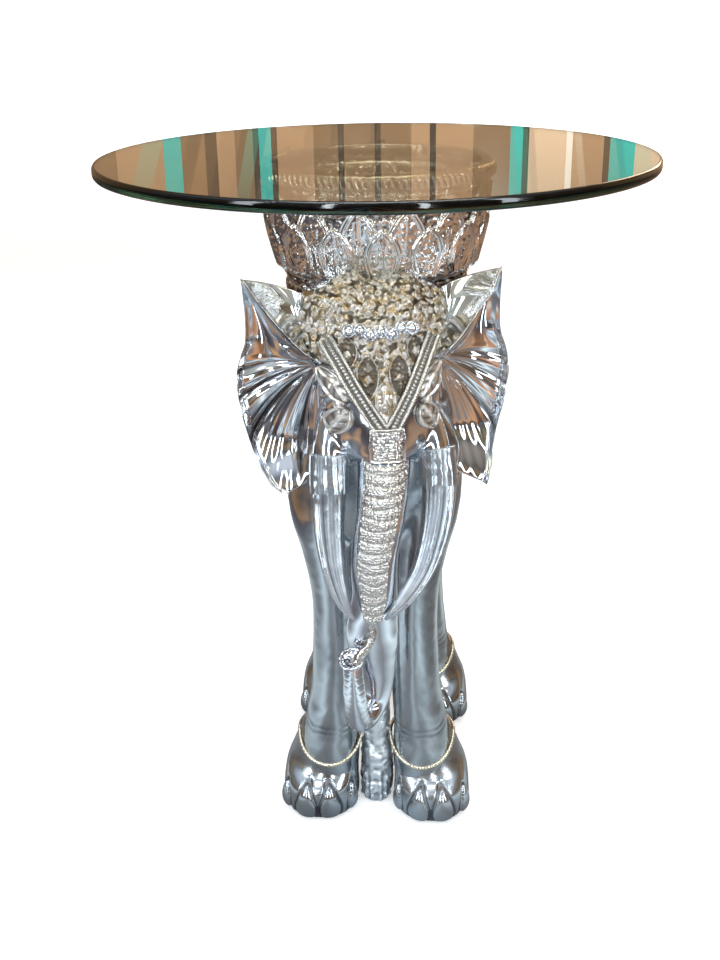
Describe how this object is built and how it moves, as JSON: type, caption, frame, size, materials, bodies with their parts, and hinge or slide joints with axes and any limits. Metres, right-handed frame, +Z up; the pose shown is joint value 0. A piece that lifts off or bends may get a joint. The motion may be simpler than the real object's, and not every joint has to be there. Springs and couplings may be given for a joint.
{
  "type": "side table",
  "caption": "Round clear glass side table on a silver-plated standing elephant that carries a hollow lotus-pattern seat under the lift-off glass.",
  "frame": {"origin": "on the floor under the centre of the round glass", "axes": "+Z up through the glass, the elephant faces -Y, its left side is towards +X"},
  "size_m": [0.5, 0.5, 0.632],
  "materials": {
    "clear_glass": "polished clear glass with a dark green edge",
    "clear_bumper": "clear soft bumper",
    "silver_plate": "mirror-bright vacuum silver plating over cast resin",
    "silver_relief": "silver plating over fine embossed relief, slightly darker in the hollows",
    "felt": "pressed felt"
  },
  "bodies": {
    "elephant": {"glass_bumpers": "clear_bumper", "seat_rim": "silver_relief", "seat_bowl": "silver_relief", "seat_collar": "silver_relief", "body_shell": "silver_plate", "chest_shell": "silver_plate", "saddle_cloth_left": "silver_relief", "saddle_cloth_right": "silver_relief", "head_shell": "silver_plate", "lower_jaw": "silver_plate", "forehead_plate": "silver_relief", "forehead_stones": "silver_relief", "harness_strap_left": "silver_relief", "harness_strap_right": "silver_relief", "harness_medallion": "silver_relief", "eye_left": "silver_plate", "eye_right": "silver_plate", "ear_left": "silver_plate", "ear_right": "silver_plate", "tusk_sleeve_left": "silver_plate", "tusk_sleeve_right": "silver_plate", "tusk_left": "silver_plate", "tusk_right": "silver_plate", "trunk": "silver_plate", "trunk_scale_band": "silver_relief", "trunk_nostril_ring": "silver_plate", "front_leg_left": "silver_plate", "front_leg_right": "silver_plate", "rear_leg_left": "silver_plate", "rear_leg_right": "silver_plate", "front_anklet_left": "silver_plate", "front_anklet_right": "silver_plate", "rear_anklet_left": "silver_plate", "rear_anklet_right": "silver_plate", "front_foot_left": "silver_plate", "front_foot_right": "silver_plate", "rear_foot_left": "silver_plate", "rear_foot_right": "silver_plate", "felt_pads": "felt", "carved_post": "silver_relief", "tail": "silver_plate", "tail_tuft": "silver_plate"},
    "glass": {"glass_top": "clear_glass"}
  },
  "joints": [
    {"name": "glass_lift", "type": "slide", "parent": "elephant", "child": "glass", "axis": [0, 0, 1], "range_m": [0, 0.12]}
  ]
}
